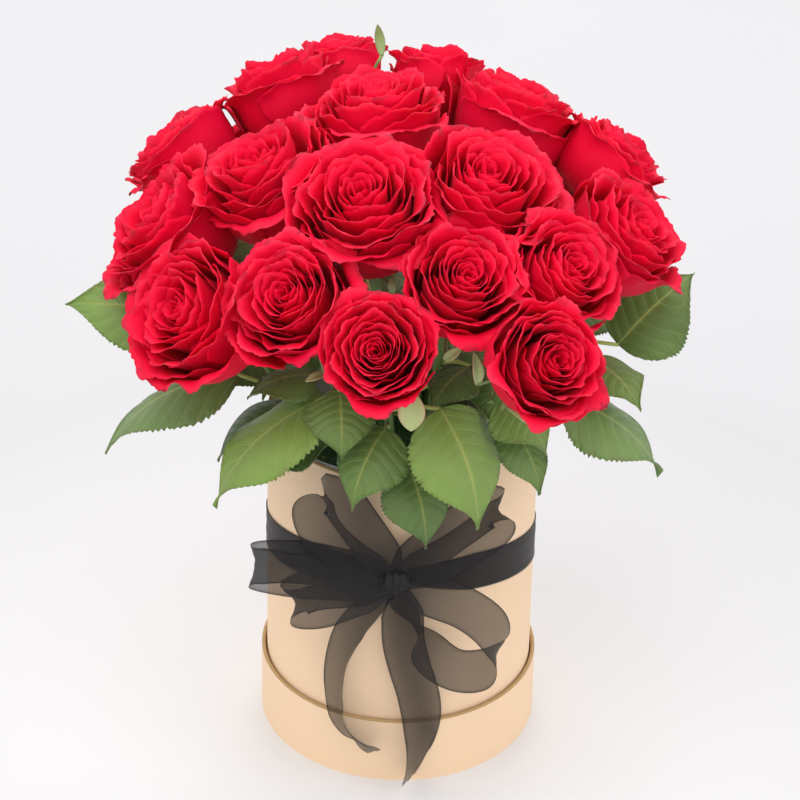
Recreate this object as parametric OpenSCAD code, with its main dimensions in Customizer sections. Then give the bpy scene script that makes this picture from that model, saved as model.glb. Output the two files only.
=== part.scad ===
// Flower box: a round hat box that stands in its own upturned lid, planted with
// cut roses in wet foam and tied with a ribbon bow.
// Millimetres, +Z up, front towards -Y, origin on the ground at the box's axis.

/* [Box] */
// Outside diameter of the box tube
tube_d = 160; // [140:1:180]
// Height of the box's rim above the ground
rim_z = 213; // [190:1:240]
// Thickness of the tube's paperboard wall
tube_wall = 2; // [1.5:0.1:3]
// Thickness of the box's floor disc
floor_t = 2; // [1.5:0.1:4]

/* [Lid] */
// Height of the lid's rim
lid_h = 44; // [30:1:60]
// Thickness of the lid's rim with its wrapped paper
lid_wall = 2.5; // [1.5:0.1:4]
// Thickness of the lid's panel
panel_t = 2; // [1.5:0.1:4]
// Slip gap between the lid's rim and the tube
lid_gap = 0.8; // [0.4:0.1:1.5]

/* [Liner and foam] */
// Thickness of the liner film
film_t = 0.4; // [0.3:0.1:1]
// Distance from the rim down to the film's edge
film_drop = 8; // [4:1:20]
// How far the film's free tab leans out over the rim
tab_reach = 6; // [3:1:12]
// Distance from the rim down to the foam's top
foam_drop = 43; // [35:1:60]
// Chamfer on the foam's edges
foam_chamfer = 4; // [1:1:8]

/* [Dome of roses] */
// Radius of the dome on which the rose hearts lie, from the middle of the rim
dome_r = 190; // [180:1:205]
// Thickness of a petal
petal_t = 1; // [0.8:0.1:1.4]
// Distance between one petal and the next in a head's spiral
petal_pitch = 2.1; // [1.8:0.1:3]
// Turn from one petal to the next, the golden angle
petal_turn = 137.5; // [130:0.5:145]

/* [Stems] */
// Diameter of a rose stem
stem_d = 5; // [4:0.5:6]
// Depth of a stem in the foam
stem_depth = 60; // [40:1:80]
// Height above the rim at which the stems begin to spread
gate_rise = 10; // [6:1:20]
// Height of the hip under each head
hip_h = 9; // [7:0.5:12]
// Length of a sepal
sepal_len = 20; // [14:1:24]

/* [Leaves] */
// Thickness of a leaf blade
leaf_t = 0.8; // [0.6:0.1:1.2]
// Height of a blade's arch as a share of its length
leaf_arch = 0.12; // [0.06:0.01:0.2]
// Slope of a blade's halves up from its midrib
leaf_fold = 0.2; // [0:0.05:0.4]
// Diameter of a leaf stalk
stalk_d = 2; // [1.5:0.1:3]

/* [Ribbon] */
// Width of the ribbon
ribbon_w = 25; // [18:1:32]
// Thickness of the ribbon with its folds
ribbon_t = 0.6; // [0.5:0.1:1]
// Height of the ribbon band at the middle of the tube
band_z = 127.6; // [115:0.5:140]
// Rise of the band from the back of the tube to the front
band_pitch = 14.3; // [0:0.1:18]
// Rise of the band from the right of the tube to the left
band_roll = 1.6; // [0:0.1:4]
// Depth of the bow's knot
knot_depth = 12; // [9:0.5:16]

/* [Hidden] */
// Paper, foam, film and ribbon clearances
fit = 0.2;
seat = 0.25;

tube_r = tube_d / 2;
tube_in = tube_r - tube_wall;
lid_in = tube_r + lid_gap;
lid_r = lid_in + lid_wall;
film_r = tube_in - fit;
foam_r = film_r - film_t - fit;
floor_top = panel_t + floor_t;
foam_base = floor_top + film_t;
foam_top = rim_z - foam_drop;
stem_r = stem_d / 2;

// Planting plan. Each rose: [azimuth, angle from the vertical, distance of its
// heart from the dome's centre and radius of its head, both in dome radii]
ROSES = [
    [154, 48, 1.12, 0.154], [-176, 48, 1.06, 0.184], [-144, 52, 1.06, 0.173],
    [132, 35, 1.14, 0.162], [109, 41, 1.17, 0.134], [123, 11, 1.07, 0.193],
    [83, 39, 1.12, 0.131], [54, 33, 1.07, 0.190], [29, 46, 1.08, 0.153],
    [-11, 43, 1.05, 0.159], [-39, 19, 1.04, 0.191], [-112, 21, 1.08, 0.207],
    [-169, 27, 1.05, 0.179], [-121, 43, 1.05, 0.159], [-96, 48, 1.07, 0.163],
    [-73, 35, 1.04, 0.172], [-41, 40, 1.04, 0.159], [-60, 53, 1.12, 0.174],
    [130, 56, 1.03, 0.154], [105, 56, 1.04, 0.159], [77, 55, 1.02, 0.159],
    [53, 55, 1.03, 0.154],
];
rose_n = len(ROSES);

// Leaves. Each one: [rose that carries it, share of the way up its stem,
// blade's base and tip as [azimuth, distance out from the tube, height above
// the rim], width of the blade, roll]
LEAVES_LEFT = [
    [1, 0.45, [-176, 42, 62], [180, 118, 68], 52, -40],
    [2, 0.32, [-152, 28, 52], [-164, 104, 4], 58, 0],
    [2, 0.16, [-142, 8, 32], [-150, 46, 4], 44, 0],
    [0, 0.35, [158, 22, 46], [156, 92, 34], 50, 0],
];
LEAVES_FRONT = [
    [13, 0.42, [-119, 10, 56], [-137, 72, 2], 60, 0],
    [13, 0.15, [-118, 8, 24], [-138, 22, 0], 32, 0],
    [13, 0.62, [-112, 16, 66], [-106, 42, 40], 40, 0],
    [14, 0.28, [-96, 12, 44], [-104, 44, 8], 46, 0],
    [14, 0.14, [-88, 12, 20], [-82, 38, -20], 42, 0],
    [14, 0.48, [-79, 26, 66], [-71, 64, 8], 62, 0],
];
LEAVES_RIGHT = [
    [17, 0.28, [-52, 16, 40], [-51, 48, 8], 34, 0],
    [17, 0.55, [-56, 20, 60], [-52, 54, 40], 42, 0],
    [16, 0.35, [-38, 30, 52], [-27, 90, 14], 58, 0],
    [16, 0.55, [-22, 34, 62], [-32, 78, 60], 40, 0],
    [9, 0.50, [-6, 44, 54], [3, 86, 92], 54, 35],
];
LEAVES_BACK = [
    [8, 0.30, [32, 20, 40], [36, 90, 26], 50, 0],
    [7, 0.30, [46, 8, 28], [47, 52, -8], 36, 0],
    [21, 0.28, [62, 16, 38], [71, 86, 24], 46, 0],
    [19, 0.30, [98, 16, 36], [92, 84, 20], 50, 0],
    [20, 0.20, [80, 8, 26], [80, 50, -10], 42, 0],
    [18, 0.30, [126, 18, 38], [124, 88, 24], 50, 0],
    [3, 0.25, [146, 6, 26], [150, 44, -10], 36, 0],
];

// Small leaves inside the dome: [rose, share of the stem, turn from the rose's direction]
INNER_LEFT = [[0, 0.6, 0], [1, 0.4, 45], [3, 0.4, 225], [12, 0.6, 225]];
INNER_FRONT = [[11, 0.4, 180], [11, 0.6, 90], [13, 0.6, 315], [15, 0.4, 270]];
INNER_RIGHT = [[8, 0.4, 180], [9, 0.4, 180]];
INNER_BACK = [[5, 0.6, 180]];

// Bow loops: [direction round the knot, length, fullness, lean to the front]
LOOPS = [
    [128, 82, 21, 8], [172, 90, 17, 8], [207, 58, 16, 11],
    [43, 84, 21, 8], [-47, 92, 20, 12],
];
// Tails from the knot to their cut ends: [across, distance in front of the lid,
// height as a share of the knot's]
TAIL_LEFT = [[-6, 0.6, 1], [-26, 0.4, 0.80], [-40, 1.4, 0.62],
             [-37, 1.0, 0.42], [-24, 1.6, 0.27], [-14, 1.2, 0.14]];
TAIL_RIGHT = [[4, 1.8, 1], [4, 1.6, 0.72], [14, 2.4, 0.50],
              [20, 3.0, 0.34], [16, 1.8, 0.18], [9, 2.6, 0.05]];
tail_steps = 4;

// ---------- geometry helpers ----------

function unit(az, tilt) = [sin(tilt) * cos(az), sin(tilt) * sin(az), cos(tilt)];
function polar(az, r, z) = [r * cos(az), r * sin(az), z];
function mix(a, b, t) = a * (1 - t) + b * t;
function sum_xy(p) = sqrt(p.x * p.x + p.y * p.y);
function azimuth(v) = atan2(v.y, v.x);
function tilt(v) = atan2(sum_xy(v), v.z);

// Turns +Z to the direction v and moves the origin to p
module along(p, v) {
    translate(p) rotate([0, tilt(v), azimuth(v)]) children();
}

// A round rod from p to q with a slightly swollen node at q
swell = 0.2;
module rod(p, q, r) {
    along(p, q - p) cylinder(r = r, h = norm(q - p), $fn = 24);
    translate(q) sphere(r = r + swell, $fn = 24);
}

// A ring wall whose top edge is rounded
module ring_wall(r_in, r_out, z0, z1) {
    mid = (r_in + r_out) / 2;
    edge = (r_out - r_in) / 2;
    rotate_extrude($fn = 160) {
        translate([r_in, z0]) square([r_out - r_in, z1 - z0 - edge]);
        translate([mid, z1 - edge]) circle(r = edge, $fn = 24);
    }
}

module disc(r, z0, z1) {
    translate([0, 0, z0]) cylinder(r = r, h = z1 - z0, $fn = 160);
}

// ---------- where each rose stands ----------

function rose_dir(i) = unit(ROSES[i][0], ROSES[i][1]);
function head_r(i) = ROSES[i][3] * dome_r;
function heart(i) = [0, 0, rim_z] + rose_dir(i) * ROSES[i][2] * dome_r;
// Middle of the head, below the heart by the petals' rise
heart_rise = 0.6;
function head_mid(i) = heart(i) - rose_dir(i) * heart_rise * head_r(i);
function head_base(i) = head_mid(i) - rose_dir(i) * head_r(i);
function neck(i) = head_base(i) - rose_dir(i) * (hip_h + stem_r);

reach_max = max([for (i = [0:rose_n - 1]) sum_xy(heart(i))]);
function spread(i) = sum_xy(heart(i)) / reach_max;
gate_r = foam_r - stem_r - 2;
entry_share = 0.82;
function gate(i) = polar(ROSES[i][0], gate_r * spread(i), rim_z + gate_rise);
function in_foam(i, depth) = polar(ROSES[i][0], gate_r * spread(i) * entry_share, foam_top - depth);

// ---------- the paperboard box and its lid ----------

module lid_rim() {
    color([0.93, 0.80, 0.66]) ring_wall(lid_in, lid_r, 0, lid_h);
}

module lid_panel() {
    color([0.90, 0.77, 0.62]) disc(lid_in - fit, 0, panel_t);
}

module box_tube() {
    color([0.95, 0.83, 0.70]) ring_wall(tube_in, tube_r, panel_t, rim_z);
}

module box_floor() {
    color([0.90, 0.77, 0.62]) disc(tube_in - fit, panel_t, floor_top);
}

// ---------- liner film and wet foam ----------

tab_az = -131;
tab_width = 19;
// Cup of film, cut down all round except at its free tab
module liner_film() {
    tab_z = rim_z + tab_reach;
    inner = film_r - film_t;
    color([0.95, 0.97, 0.97, 0.6]) difference() {
        rotate_extrude($fn = 160)
            polygon([[0, floor_top], [film_r, floor_top], [film_r, rim_z + seat],
                     [film_r + tab_reach, tab_z], [inner + tab_reach, tab_z],
                     [inner, rim_z + seat], [inner, foam_base], [0, foam_base]]);
        rotate([0, 0, tab_az + tab_width]) rotate_extrude(angle = 360 - tab_width, $fn = 160)
            translate([inner - 1, rim_z - film_drop])
                square([tab_reach + 3, film_drop + tab_reach + 1]);
    }
}

bore_gap = 0.15;
module foam_block() {
    color([0.30, 0.45, 0.28]) difference() {
        rotate_extrude($fn = 160)
            polygon([[0, foam_base], [foam_r, foam_base], [foam_r, foam_top - foam_chamfer],
                     [foam_r - foam_chamfer, foam_top], [0, foam_top]]);
        for (i = [0:rose_n - 1])
            translate(in_foam(i, stem_depth + bore_gap))
                cylinder(r = stem_r + bore_gap, h = stem_depth + 1, $fn = 24);
    }
}

// ---------- a rose head ----------

// A petal is part of a turned wall that flares towards its lip
module petal(r, wrap, rise, flare) {
    root = -0.35 * rise - 6;
    rotate([0, 0, -wrap / 2]) rotate_extrude(angle = wrap, $fn = 48)
        polygon([[r - petal_t, root], [r, root], [r + 0.3 * flare, 0.55 * rise],
                 [r + flare, rise], [r + flare - petal_t, rise + petal_t / 2],
                 [r + 0.3 * flare - petal_t, 0.55 * rise]]);
}

// Round underside and shallow cone that carry the petals
module head_core(r) {
    rotate_extrude($fn = 48) intersection() {
        translate([0, -0.1 * r]) circle(r = 0.93 * r, $fn = 48);
        polygon([[0, -r], [r, -r], [r, -0.1 * r], [0.15 * r, 0.2 * r], [0, 0.2 * r]]);
    }
}

module rose_head(r) {
    heart_r = 0.12 * r;
    petals = floor(0.74 * r / petal_pitch);
    head_core(r);
    for (k = [0:petals]) {
        share = k / petals;
        rotate([0, 0, k * petal_turn])
            petal(heart_r + k * petal_pitch, 220 - 100 * share,
                  heart_rise * r * (1 - share * share / 2), 0.09 * r * share);
    }
}

module rose_bloom(i) {
    color([0.80, 0.06, 0.12]) along(head_mid(i), rose_dir(i)) rose_head(head_r(i));
}

// ---------- a rose stem with its hip and sepals ----------

// Five pointed sepals in one flat star
module sepal_star() {
    side_r = (sepal_len * sepal_len + sepal_w * sepal_w) / (4 * sepal_w);
    linear_extrude(height = sepal_t) for (k = [0:4]) rotate(72 * k) translate([hip_r - 2, 0])
        intersection() {
            translate([sepal_len / 2, side_r - sepal_w / 2]) circle(r = side_r, $fn = 64);
            translate([sepal_len / 2, sepal_w / 2 - side_r]) circle(r = side_r, $fn = 64);
        }
}

sepal_w = 6;
sepal_t = 0.8;
module hip_and_sepals(top_r) {
    translate([0, 0, -hip_h]) cylinder(r1 = stem_r, r2 = top_r, h = hip_h, $fn = 24);
    translate([0, 0, -2.5 * sepal_t]) sepal_star();
}

hip_r = 5.5;
module rose_stem(i) {
    color([0.28, 0.45, 0.18]) {
        rod(in_foam(i, stem_depth), in_foam(i, -stem_r), stem_r);
        rod(in_foam(i, -stem_r), gate(i), stem_r);
        rod(gate(i), neck(i), stem_r);
        rod(neck(i), head_base(i) - rose_dir(i) * hip_h * 0.7, stem_r);
        along(head_base(i), rose_dir(i)) hip_and_sepals(hip_r);
    }
}

// ---------- leaves ----------

function place(p) = polar(p[0], tube_r + p[1], rim_z + p[2]);

// Closed thin sheet between two grids of points, the upper and the lower one
module sheet(upper, lower) {
    n = len(upper);
    m = len(upper[0]);
    function u(k, j) = k * m + j;
    function l(k, j) = n * m + k * m + j;
    function quad(a, b, c, d) = [[a, c, b], [a, d, c]];
    points = concat([for (row = upper) each row], [for (row = lower) each row]);
    faces = [for (k = [0:n - 2]) each concat(
        [for (j = [0:m - 2]) each concat(
            quad(u(k, j), u(k, j + 1), u(k + 1, j + 1), u(k + 1, j)),
            quad(l(k, j), l(k + 1, j), l(k + 1, j + 1), l(k, j + 1)))],
        quad(u(k, 0), u(k + 1, 0), l(k + 1, 0), l(k, 0)),
        quad(u(k, m - 1), l(k, m - 1), l(k + 1, m - 1), u(k + 1, m - 1)))];
    ends = [for (j = [0:m - 2]) each concat(
        quad(u(0, j), l(0, j), l(0, j + 1), u(0, j + 1)),
        quad(u(n - 1, j), u(n - 1, j + 1), l(n - 1, j + 1), l(n - 1, j)))];
    polyhedron(points, concat(faces, ends));
}

// Side and up directions across the direction v, rolled about it
function across(v, roll) =
    let (f = v / norm(v), s = cross([0, 0, 1], f) / norm(cross([0, 0, 1], f)), u = cross(f, s))
    [s * cos(roll) + u * sin(roll), u * cos(roll) - s * sin(roll)];

// A leaf is one closed sheet: a six-sided stalk from the stem to the blade's
// base, then a blade with a fold along its rib and toothed edges
blade_steps = 8;
stalk_steps = 2;
inner_stalk = 9;
inner_length = 40;
inner_drop = 6;
inner_w = 36;
module leaf(i, share, base, tip, width, roll) {
    bud = mix(gate(i), neck(i), share);
    length = norm(tip - base);
    way = (base - bud) / norm(base - bud);
    stem_way = (neck(i) - gate(i)) / norm(neck(i) - gate(i));
    slope = abs(way * stem_way);
    start = bud + way * (stem_r + seat + slope * stalk_d / 2) / sqrt(1 - slope * slope);
    stalk = across(way, 0);
    side = across(tip - base, roll).x;
    up = across(tip - base, roll).y;
    h = stalk_d / 2;
    function half(s, k) = h + (width / 2 - h)
        * pow(sin(180 * pow(s, 0.72)), 0.75 + 0.35 * s) * (k % 2 == 0 ? 1 : 0.92);
    function rise(s) = 4 * leaf_arch * length * s * (1 - s);
    function stalk_row(c, turn) = [
        c + stalk.x * h + stalk.y * turn * h / 3, c + stalk.y * turn * h,
        c - stalk.x * h + stalk.y * turn * h / 3];
    function blade_row(k, drop) =
        let (s = k / blade_steps, w = half(s, k),
             c = base + (tip - base) * (0.04 + 0.96 * s) + up * (rise(s) - drop))
        [c + side * w + up * w * leaf_fold, c, c - side * w + up * w * leaf_fold];
    function rows(turn, drop) = concat(
        [for (k = [0:stalk_steps]) stalk_row(mix(start, base, k / stalk_steps), turn)],
        [for (k = [0:blade_steps]) blade_row(k, drop)]);
    sheet(rows(1, 0), rows(-1, leaf_t));
}

// Small leaf inside the dome, turned from its own rose's direction
module inner_leaf(i, share, turn) {
    from = mix(gate(i), neck(i), share);
    way = unit(ROSES[i][0] + turn, 90);
    leaf(i, share, from + way * inner_stalk,
        from + way * (inner_stalk + inner_length) - [0, 0, inner_drop], inner_w, 0);
}

module leaves(rows, inner) {
    color([0.25, 0.46, 0.18]) {
        for (row = rows)
            leaf(row[0], row[1], place(row[2]), place(row[3]), row[4], row[5]);
        for (row = inner) inner_leaf(row[0], row[1], row[2]);
    }
}

// ---------- ribbon ----------

band_in = tube_r + fit;
band_front = tube_r * tan(band_pitch);
knot_z = band_z + band_front;

module ribbon_band() {
    color([0.12, 0.12, 0.13]) intersection() {
        difference() {
            disc(band_in + ribbon_t, 0, rim_z);
            disc(band_in, -1, rim_z + 1);
        }
        translate([0, 0, band_z]) rotate([-band_pitch, band_roll, 0])
            translate([-tube_d, -tube_d, -ribbon_w / 2]) cube([2 * tube_d, 2 * tube_d, ribbon_w]);
    }
}

knot_x = -3;
knot_r = 9;
knot_half = 8.5;
knot_back = band_in + ribbon_t + seat;
module bow_knot() {
    color([0.10, 0.10, 0.11]) translate([knot_x, -knot_back - knot_depth / 2, knot_z])
        intersection() {
            rotate([0, 90, 0]) cylinder(r = knot_depth / 2, h = 2 * knot_half, center = true, $fn = 32);
            sphere(r = knot_r, $fn = 32);
        }
}

// Outline of a loop seen from its edge: two runs together at the knot, round at the far end
loop_steps = 20;
loop_mouth = 1;
function loop_outline(length, full, mouth) = [for (k = [0:loop_steps - 1])
    let (a = 360 * (k + 0.5) / loop_steps - 180, x = (1 + cos(a)) / 2)
    [length * x, sign(a) * mouth * (1 - x * x) + (full / 2 - mouth) * 1.3 * sin(a) * pow(x, 0.6)]];

// A loop is gathered where it leaves the knot
gather = 0.27;
module bow_loop(length, full) {
    start = gather * knot_r;
    wide = (ribbon_w / 2 - start) / gather;
    intersection() {
        translate([0, 0, -ribbon_w / 2]) linear_extrude(height = ribbon_w) difference() {
            polygon(loop_outline(length, full, loop_mouth));
            translate([ribbon_t, 0])
                polygon(loop_outline(length - 2 * ribbon_t, full - 2 * ribbon_t, loop_mouth - ribbon_t));
        }
        translate([0, full, 0]) rotate([90, 0, 0]) linear_extrude(height = 2 * full)
            polygon([[-1, -start], [wide, -ribbon_w / 2], [length + 1, -ribbon_w / 2],
                     [length + 1, ribbon_w / 2], [wide, ribbon_w / 2], [-1, start]]);
    }
}

module bow_loops() {
    color([0.14, 0.14, 0.15]) for (row = LOOPS)
        translate([knot_x, -knot_back - knot_depth / 2, knot_z]) rotate([0, -row[0], 0])
            translate([knot_r + seat, 0, 0]) rotate([0, 0, -row[3]])
                bow_loop(row[1] - knot_half, row[2]);
}

// Smooth curve through hand-placed points
function spline(p, i, t) =
    let (a = p[max(i - 1, 0)], b = p[i], c = p[i + 1], d = p[min(i + 2, len(p) - 1)])
    0.5 * (2 * b + (c - a) * t + (2 * a - 5 * b + 4 * c - d) * t * t
           + (3 * b - 3 * c + d - a) * t * t * t);
function smooth(p, n) = concat(
    [for (i = [0:len(p) - 2]) for (k = [0:n - 1]) spline(p, i, k / n)], [p[len(p) - 1]]);

// A flat strip of ribbon along points, facing the front, that starts straight down
module strip(path) {
    n = len(path);
    function run(k) = k == 0 ? [0, 0, -1] : path[min(k + 1, n - 1)] - path[k - 1];
    function side(k) = let (s = cross(run(k), [0, -1, 0])) s / norm(s) * ribbon_w / 2;
    function face(k) = let (s = cross(run(k), side(k))) s / norm(s) * ribbon_t / 2;
    sheet([for (k = [0:n - 1]) [path[k] + side(k) + face(k), path[k] - side(k) + face(k)]],
          [for (k = [0:n - 1]) [path[k] + side(k) - face(k), path[k] - side(k) - face(k)]]);
}

tail_top = knot_z - knot_depth / 2 - seat;
function tail_path(rows) = smooth([for (p = rows) [p.x, -lid_r - p.y, p.z * tail_top]], tail_steps);
module bow_tails() {
    color([0.12, 0.12, 0.13]) {
        strip(tail_path(TAIL_LEFT));
        strip(tail_path(TAIL_RIGHT));
    }
}

lid_rim();
lid_panel();
box_tube();
box_floor();
liner_film();
foam_block();
ribbon_band();
bow_knot();
bow_loops();
bow_tails();
leaves(LEAVES_LEFT, INNER_LEFT);  // leaves_left
leaves(LEAVES_FRONT, INNER_FRONT);  // leaves_front
leaves(LEAVES_RIGHT, INNER_RIGHT);  // leaves_right
leaves(LEAVES_BACK, INNER_BACK);  // leaves_back
for (i = [0:rose_n - 1]) {
    rose_bloom(i);
    rose_stem(i);
}
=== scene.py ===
"""Flower box: a round paper box in its upturned lid, with a dome of 22 roses, leaves and
an organza bow. Metres, +Z up, front towards -Y."""
import math

import bpy  # noqa: E402
import numpy as np  # noqa: E402
from mathutils import Matrix, Vector  # noqa: E402


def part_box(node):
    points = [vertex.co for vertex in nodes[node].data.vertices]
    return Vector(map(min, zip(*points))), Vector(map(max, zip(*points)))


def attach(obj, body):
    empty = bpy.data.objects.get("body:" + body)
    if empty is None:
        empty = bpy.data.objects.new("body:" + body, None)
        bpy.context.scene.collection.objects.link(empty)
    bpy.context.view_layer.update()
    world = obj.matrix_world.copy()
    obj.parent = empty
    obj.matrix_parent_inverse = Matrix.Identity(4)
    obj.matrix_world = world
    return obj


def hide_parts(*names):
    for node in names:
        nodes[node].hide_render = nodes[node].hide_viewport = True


MM = 0.001
TAU = 2 * math.pi

# ---------------------------------------------------------------- sizes as in the CAD
TUBE_R, RIM_Z = 80 * MM, 213 * MM
DOME_R = 190 * MM
FOAM_R, FOAM_TOP = 77.2 * MM, 170 * MM
STEM_R, STEM_DEPTH, HIP_H = 2.5 * MM, 60 * MM, 9 * MM
# The stems leave the foam upright and begin to spread at a gate just over the rim
GATE_RISE, GATE_MARGIN, ENTRY_SHARE = 10 * MM, 2 * MM, 0.82
HEAD_DEPTH = 1.6            # from a head's heart to its base, in head radii
LEAF_STALK_R = 1.0 * MM
RIBBON_W = 25 * MM
BAND_Z, BAND_PITCH, BAND_ROLL = 127.6 * MM, math.radians(14.3), math.radians(1.6)
KNOT = np.array([-3 * MM, -87.05 * MM, BAND_Z + TUBE_R * math.tan(BAND_PITCH)])

# ---------------------------------------------------------------- sizes of the scene's own
PETAL_T, LEAF_T, STEM_SKIN_T = .32 * MM, .35 * MM, .45 * MM
RIBBON_T, WRAP_T = .2 * MM, .3 * MM
HEAD_WIDTH, HEAD_HEIGHT = 1.17, 1.60        # of the petals' cup, in CAD head radii
PETAL_TURN = 137.5                          # degrees, the golden angle
PETAL_STEP = 1.3 * MM                       # about how far apart a petal's columns lie
GUARDS, SEPALS, THORNS = 4, 5, 3            # loose outer petals, and so on, of each rose
SEPAL_ROOT, SEPAL_DROP = 4.2 * MM, 1.2 * MM  # where a sepal starts, out and below the base
SPRIG_STALK_R = .8 * MM
LEAF_ARCH, LEAF_TEETH, SIDE_VEINS = .12, 27, 8
BAND_R = 80.6                               # mm
BOX_EDGE, LID_EDGE = .8 * MM, 1.2 * MM      # height of the raw board edges that show
BLOOM_SEED, STEM_SEED, BAND_SEED, KNOT_SEED = 40, 900, 5, 7
CREAM, BOARD = (.82, .60, .40), (.55, .38, .22)

# Each rose: azimuth, angle from the vertical, distance of its heart from the dome's
# centre, radius of its head (both in dome radii), how open it is, turn, number of
# petals, and the width of its petals' cup beside the CAD head's
ROSES = [
    [154, 48, 1.12, 0.154, 0.50, 20, 32, 1.13], [-176, 48, 1.06, 0.184, 0.60, 75, 34, 1.15],
    [-144, 52, 1.06, 0.173, 0.45, 10, 32, 1.14], [132, 35, 1.14, 0.162, 0.70, 140, 32, 1.04],
    [109, 41, 1.17, 0.134, 0.60, 200, 30, 1.04], [123, 11, 1.07, 0.193, 0.85, 250, 34, 0.96],
    [83, 39, 1.12, 0.131, 0.60, 300, 30, 1.04], [54, 33, 1.07, 0.190, 0.80, 40, 34, 1.00],
    [29, 46, 1.08, 0.153, 0.55, 160, 32, 1.08], [-11, 43, 1.05, 0.159, 0.60, 95, 32, 1.10],
    [-39, 19, 1.04, 0.191, 0.90, 215, 34, 1.02], [-112, 21, 1.08, 0.207, 1.00, 330, 36, 0.94],
    [-169, 27, 1.05, 0.179, 0.85, 120, 35, 1.08], [-121, 43, 1.05, 0.159, 0.70, 60, 40, 1.04],
    [-96, 48, 1.07, 0.163, 0.50, 180, 42, 0.91], [-73, 35, 1.04, 0.172, 0.60, 5, 38, 0.93],
    [-41, 40, 1.04, 0.159, 0.60, 275, 34, 1.05], [-60, 53, 1.12, 0.174, 0.40, 100, 36, 0.93],
    [130, 56, 1.03, 0.154, 0.60, 30, 32, 1.00], [105, 56, 1.04, 0.159, 0.60, 110, 32, 1.00],
    [77, 55, 1.02, 0.159, 0.60, 210, 32, 1.00], [53, 55, 1.03, 0.154, 0.60, 310, 32, 1.00],
]

# The CAD's leaves by node. Each one: rose that carries it, share of the way up its stem,
# blade's base and tip as [azimuth, distance out from the tube, height above the rim],
# width, roll, and how young and pale it is. Millimetres and degrees
LEAVES = {
    "leaves_left": [
        [1, .45, [-176, 42, 62], [180, 118, 68], 52, -40, .55],
        [2, .32, [-152, 28, 52], [-164, 104, 4], 58, 0, .1],
        [2, .16, [-142, 8, 32], [-150, 46, 4], 44, 0, 0],
        [0, .35, [158, 22, 46], [156, 92, 34], 50, 0, .2],
    ],
    "leaves_front": [
        [13, .42, [-119, 10, 56], [-137, 72, 2], 60, 0, .95],
        [13, .15, [-118, 8, 24], [-138, 22, 0], 32, 0, .15],
        [13, .62, [-112, 16, 66], [-106, 42, 40], 40, 0, .35],
        [14, .28, [-96, 12, 44], [-104, 44, 8], 46, 0, .25],
        [14, .14, [-88, 12, 20], [-82, 38, -20], 42, 0, .1],
        [14, .48, [-79, 26, 66], [-71, 64, 8], 62, 0, .75],
    ],
    "leaves_right": [
        [17, .28, [-52, 16, 40], [-51, 48, 8], 34, 0, .15],
        [17, .55, [-56, 20, 60], [-52, 54, 40], 42, 0, .55],
        [16, .35, [-38, 30, 52], [-27, 90, 14], 58, 0, .05],
        [16, .55, [-22, 34, 62], [-32, 78, 60], 40, 0, .25],
        [9, .50, [-6, 44, 54], [3, 86, 92], 54, 35, .35],
    ],
    "leaves_back": [
        [8, .30, [32, 20, 40], [36, 90, 26], 50, 0, .2],
        [7, .30, [46, 8, 28], [47, 52, -8], 36, 0, .2],
        [21, .28, [62, 16, 38], [71, 86, 24], 46, 0, .2],
        [19, .30, [98, 16, 36], [92, 84, 20], 50, 0, .2],
        [20, .20, [80, 8, 26], [80, 50, -10], 42, 0, .2],
        [18, .30, [126, 18, 38], [124, 88, 24], 50, 0, .2],
        [3, .25, [146, 6, 26], [150, 44, -10], 36, 0, .2],
    ],
}
# More leaves, only in the scene, that fill the gaps between the heads: the same columns
FILL = {
    "leaves_left": [[12, .6, [150, 14, 92], [178, 34, 84], 44, 0, .05],
                    [0, .3, [150, -10, 26], [184, 4, 10], 42, 0, .05]],
    "leaves_front": [[11, .6, [135, -45, 78], [40, -57, 76], 40, 0, .05],
                     [15, .6, [-62, -1, 73], [-81, 13, 60], 34, 0, .02],
                     [16, .4, [-52, 4, 66], [-62, 24, 50], 30, 0, .02]],
    "leaves_right": [[9, .35, [2, 4, 44], [-8, 44, 30], 40, 0, .1],
                     [8, .35, [16, 10, 52], [12, 60, 44], 42, 0, .1],
                     [8, .5, [40, -32, 66], [16, 20, 54], 44, 0, .05]],
    "leaves_back": [[6, .4, [105, -12, 62], [78, 18, 48], 46, 0, .1],
                    [5, .4, [118, -34, 74], [146, 18, 66], 46, 0, .05],
                    [7, .4, [85, -38, 70], [48, 10, 58], 46, 0, .05]],
}
# The CAD's small leaves inside the dome: rose, share of the way up its stem, and turn
# from the rose's direction. All have one size, in millimetres
INNER_STALK, INNER_LENGTH, INNER_DROP, INNER_W, INNER_YOUNG = 9, 40, 6, 36, .05
INNER = {
    "leaves_left": [[0, .6, 0], [1, .4, 45], [3, .4, 225], [12, .6, 225]],
    "leaves_front": [[11, .4, 180], [11, .6, 90], [13, .6, 315], [15, .4, 270]],
    "leaves_right": [[8, .4, 180], [9, .4, 180]],
    "leaves_back": [[5, .6, 180]],
}

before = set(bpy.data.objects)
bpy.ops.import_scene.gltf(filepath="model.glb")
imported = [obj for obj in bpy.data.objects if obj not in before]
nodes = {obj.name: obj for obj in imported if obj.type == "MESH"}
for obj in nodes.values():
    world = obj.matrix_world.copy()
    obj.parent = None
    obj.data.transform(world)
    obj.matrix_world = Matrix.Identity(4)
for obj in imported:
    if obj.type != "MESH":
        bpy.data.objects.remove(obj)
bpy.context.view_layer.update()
scene = bpy.context.scene


# ---------------------------------------------------------------- camera and light
def unit(az, tilt):
    a, t = math.radians(az), math.radians(tilt)
    return np.array([math.cos(a) * math.sin(t), math.sin(a) * math.sin(t), math.cos(t)])


EYE, AIM = Vector((0, -1.965, 1.478)), Vector((0, 0, .1))
LENS, SENSOR = 178.7, 36
CAMERA_ROLL, CAMERA_LIFT = math.radians(1.3), math.radians(2.36)


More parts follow.
